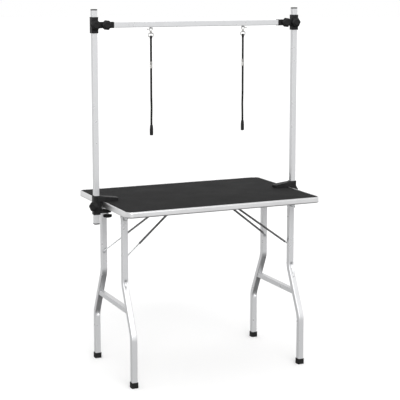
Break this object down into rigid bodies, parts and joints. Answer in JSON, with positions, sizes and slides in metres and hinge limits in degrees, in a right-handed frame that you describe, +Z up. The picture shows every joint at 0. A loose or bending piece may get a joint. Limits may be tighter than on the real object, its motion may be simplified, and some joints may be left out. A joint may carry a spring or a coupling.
{
  "type": "grooming_table",
  "caption": "Folding pet grooming table with a rubber-topped board, an overhead bar on clamped posts and hanging nooses with sliding locks",
  "frame": {"origin": "on the floor under the middle of the table top", "axes": "+X along the table's long side to the right, +Y to the back, +Z up"},
  "size_m": [1.033, 0.62, 1.6],
  "materials": {
    "aluminium_band": "satin, with bright lips",
    "rubber_mat": "fine-grained black rubber, slightly worn",
    "board_wood": "sealed plywood",
    "silver_tube": "silver painted square steel tube, satin",
    "black_plastic": "moulded black nylon, satin",
    "black_rubber": "moulded rubber",
    "bracket_steel": "grey painted pressed steel",
    "zinc_steel": "zinc-plated steel",
    "spring_steel": "black coated spring wire",
    "nickel": "nickel-plated",
    "black_cord": "braided nylon cord, black"
  },
  "bodies": {
    "table": {"board": "board_wood", "mat": "rubber_mat", "edge_band": "aluminium_band", "hinge_brackets": "bracket_steel", "hinge_bolts": "zinc_steel", "bracket_screws": "zinc_steel", "stay_brackets": "bracket_steel", "stay_pins": "zinc_steel", "clamp_body_left": "black_plastic", "clamp_body_right": "black_plastic"},
    "legs_left": {"front_leg_left": "silver_tube", "back_leg_left": "silver_tube", "crossbar_left": "silver_tube", "feet_left": "black_rubber", "stay_studs_left": "zinc_steel"},
    "front_stay_left": {"front_stay_rod_left": "zinc_steel", "front_stay_spring_left": "spring_steel"},
    "back_stay_left": {"back_stay_rod_left": "zinc_steel", "back_stay_spring_left": "spring_steel"},
    "pad_left": {"clamp_pad_left": "black_rubber"},
    "screw_left": {"clamp_screw_left": "zinc_steel", "clamp_knob_left": "black_plastic"},
    "lock_knob_left": {"post_lock_knob_left": "black_plastic"},
    "post_left": {"post_left": "silver_tube", "post_caps_left": "black_plastic"},
    "post_knob_left": {"tee_post_knob_left": "black_plastic"},
    "bar_knob_left": {"tee_bar_knob_left": "black_plastic"},
    "hook_left": {"snap_hook_left": "nickel"},
    "bolt_left": {"snap_bolt_left": "nickel"},
    "noose_left": {"swivel_loop_left": "nickel", "noose_cord_left": "black_cord", "noose_sleeve_left": "black_plastic"},
    "slider_left": {"noose_lock_left": "nickel"},
    "legs_right": {"front_leg_right": "silver_tube", "back_leg_right": "silver_tube", "crossbar_right": "silver_tube", "feet_right": "black_rubber", "stay_studs_right": "zinc_steel"},
    "front_stay_right": {"front_stay_rod_right": "zinc_steel", "front_stay_spring_right": "spring_steel"},
    "back_stay_right": {"back_stay_rod_right": "zinc_steel", "back_stay_spring_right": "spring_steel"},
    "pad_right": {"clamp_pad_right": "black_rubber"},
    "screw_right": {"clamp_screw_right": "zinc_steel", "clamp_knob_right": "black_plastic"},
    "lock_knob_right": {"post_lock_knob_right": "black_plastic"},
    "post_right": {"post_right": "silver_tube", "post_caps_right": "black_plastic"},
    "post_knob_right": {"tee_post_knob_right": "black_plastic"},
    "bar_knob_right": {"tee_bar_knob_right": "black_plastic"},
    "hook_right": {"snap_hook_right": "nickel"},
    "bolt_right": {"snap_bolt_right": "nickel"},
    "noose_right": {"swivel_loop_right": "nickel", "noose_cord_right": "black_cord", "noose_sleeve_right": "black_plastic"},
    "slider_right": {"noose_lock_right": "nickel"},
    "overhead": {"bar": "silver_tube", "bar_eyes": "zinc_steel", "tee_left": "black_plastic", "tee_right": "black_plastic"}
  },
  "joints": [
    {"name": "post_height_left", "type": "slide", "parent": "table", "child": "post_left", "axis": [0, 0, 1], "range_m": [-0.15, 0.04]},
    {"name": "post_height_right", "type": "slide", "parent": "table", "child": "post_right", "axis": [0, 0, 1], "range_m": [-0.15, 0.04]},
    {"name": "bar_height", "type": "slide", "parent": "post_left", "child": "overhead", "axis": [0, 0, 1], "range_m": [-0.1, 0.02]},
    {"name": "legs_fold_left", "type": "hinge", "parent": "table", "child": "legs_left", "pos_m": [-0.403, 0, 0.72], "axis": [0, -1, 0], "range_deg": [0, 90]},
    {"name": "front_stay_swing_left", "type": "hinge", "parent": "table", "child": "front_stay_left", "pos_m": [-0.1285, -0.047, 0.737], "axis": [0, 1, 0], "range_deg": [0, 37.75]},
    {"name": "back_stay_swing_left", "type": "hinge", "parent": "table", "child": "back_stay_left", "pos_m": [-0.1285, 0.047, 0.737], "axis": [0, 1, 0], "range_deg": [0, 37.75]},
    {"name": "clamp_pad_travel_left", "type": "slide", "parent": "table", "child": "pad_left", "axis": [0, 0, -1], "range_m": [0, 0.01]},
    {"name": "clamp_screw_turn_left", "type": "hinge", "parent": "pad_left", "child": "screw_left", "pos_m": [-0.4305, 0, 0.708], "axis": [0, 0, 1], "range_deg": [0, 1800.5]},
    {"name": "post_lock_turn_left", "type": "hinge", "parent": "table", "child": "lock_knob_left", "pos_m": [-0.49918, -0.01768, 0.756], "axis": [-0.7071, -0.7071, 0], "range_deg": [0, 720]},
    {"name": "tee_post_lock_turn_left", "type": "hinge", "parent": "overhead", "child": "post_knob_left", "pos_m": [-0.4815, -0.02, 1.533], "axis": [0, -1, 0], "range_deg": [0, 720]},
    {"name": "tee_bar_lock_turn_left", "type": "hinge", "parent": "overhead", "child": "bar_knob_left", "pos_m": [-0.4315, -0.02, 1.533], "axis": [0, -1, 0], "range_deg": [0, 720]},
    {"name": "noose_swing_left", "type": "hinge", "parent": "overhead", "child": "hook_left", "pos_m": [-0.222, 0, 1.51755], "axis": [1, 0, 0], "range_deg": [-40, 40]},
    {"name": "snap_bolt_slide_left", "type": "slide", "parent": "hook_left", "child": "bolt_left", "axis": [0.4394, 0, -0.8983], "range_m": [0, 0.0034], "stiffness_N_per_m": 300},
    {"name": "swivel_turn_left", "type": "hinge", "parent": "hook_left", "child": "noose_left", "pos_m": [-0.222, 0, 1.4945], "axis": [0, 0, 1], "continuous": true},
    {"name": "noose_lock_slide_left", "type": "slide", "parent": "noose_left", "child": "slider_left", "axis": [0, 0, 1], "range_m": [-0.13, 0.045]},
    {"name": "legs_fold_right", "type": "hinge", "parent": "table", "child": "legs_right", "pos_m": [0.403, 0, 0.72], "axis": [0, 1, 0], "range_deg": [0, 85]},
    {"name": "front_stay_swing_right", "type": "hinge", "parent": "table", "child": "front_stay_right", "pos_m": [0.1285, -0.047, 0.737], "axis": [0, -1, 0], "range_deg": [0, 37.75]},
    {"name": "back_stay_swing_right", "type": "hinge", "parent": "table", "child": "back_stay_right", "pos_m": [0.1285, 0.047, 0.737], "axis": [0, -1, 0], "range_deg": [0, 37.75]},
    {"name": "clamp_pad_travel_right", "type": "slide", "parent": "table", "child": "pad_right", "axis": [0, 0, -1], "range_m": [0, 0.01]},
    {"name": "clamp_screw_turn_right", "type": "hinge", "parent": "pad_right", "child": "screw_right", "pos_m": [0.4305, 0, 0.708], "axis": [0, 0, 1], "range_deg": [0, 1800.5]},
    {"name": "post_lock_turn_right", "type": "hinge", "parent": "table", "child": "lock_knob_right", "pos_m": [0.49918, 0.01768, 0.756], "axis": [0.7071, 0.7071, 0], "range_deg": [0, 720]},
    {"name": "tee_post_lock_turn_right", "type": "hinge", "parent": "overhead", "child": "post_knob_right", "pos_m": [0.4815, -0.02, 1.533], "axis": [0, -1, 0], "range_deg": [0, 720]},
    {"name": "tee_bar_lock_turn_right", "type": "hinge", "parent": "overhead", "child": "bar_knob_right", "pos_m": [0.4315, -0.02, 1.533], "axis": [0, -1, 0], "range_deg": [0, 720]},
    {"name": "noose_swing_right", "type": "hinge", "parent": "overhead", "child": "hook_right", "pos_m": [0.222, 0, 1.51755], "axis": [1, 0, 0], "range_deg": [-40, 40]},
    {"name": "snap_bolt_slide_right", "type": "slide", "parent": "hook_right", "child": "bolt_right", "axis": [-0.4394, 0, -0.8983], "range_m": [0, 0.0034], "stiffness_N_per_m": 300},
    {"name": "swivel_turn_right", "type": "hinge", "parent": "hook_right", "child": "noose_right", "pos_m": [0.222, 0, 1.4945], "axis": [0, 0, 1], "continuous": true},
    {"name": "noose_lock_slide_right", "type": "slide", "parent": "noose_right", "child": "slider_right", "axis": [0, 0, 1], "range_m": [-0.13, 0.045]}
  ],
  "couplings": [
    {"joint": "post_height_right", "follows": "post_height_left", "ratio": 1},
    {"joint": "front_stay_swing_left", "follows": "legs_fold_left", "ratio": 0.41889},
    {"joint": "back_stay_swing_left", "follows": "legs_fold_left", "ratio": 0.41889},
    {"joint": "clamp_screw_turn_left", "follows": "clamp_pad_travel_left", "rad_per_m": 3141.6},
    {"joint": "front_stay_swing_right", "follows": "legs_fold_right", "ratio": 0.44353},
    {"joint": "back_stay_swing_right", "follows": "legs_fold_right", "ratio": 0.44353},
    {"joint": "clamp_screw_turn_right", "follows": "clamp_pad_travel_right", "rad_per_m": 3141.6}
  ]
}
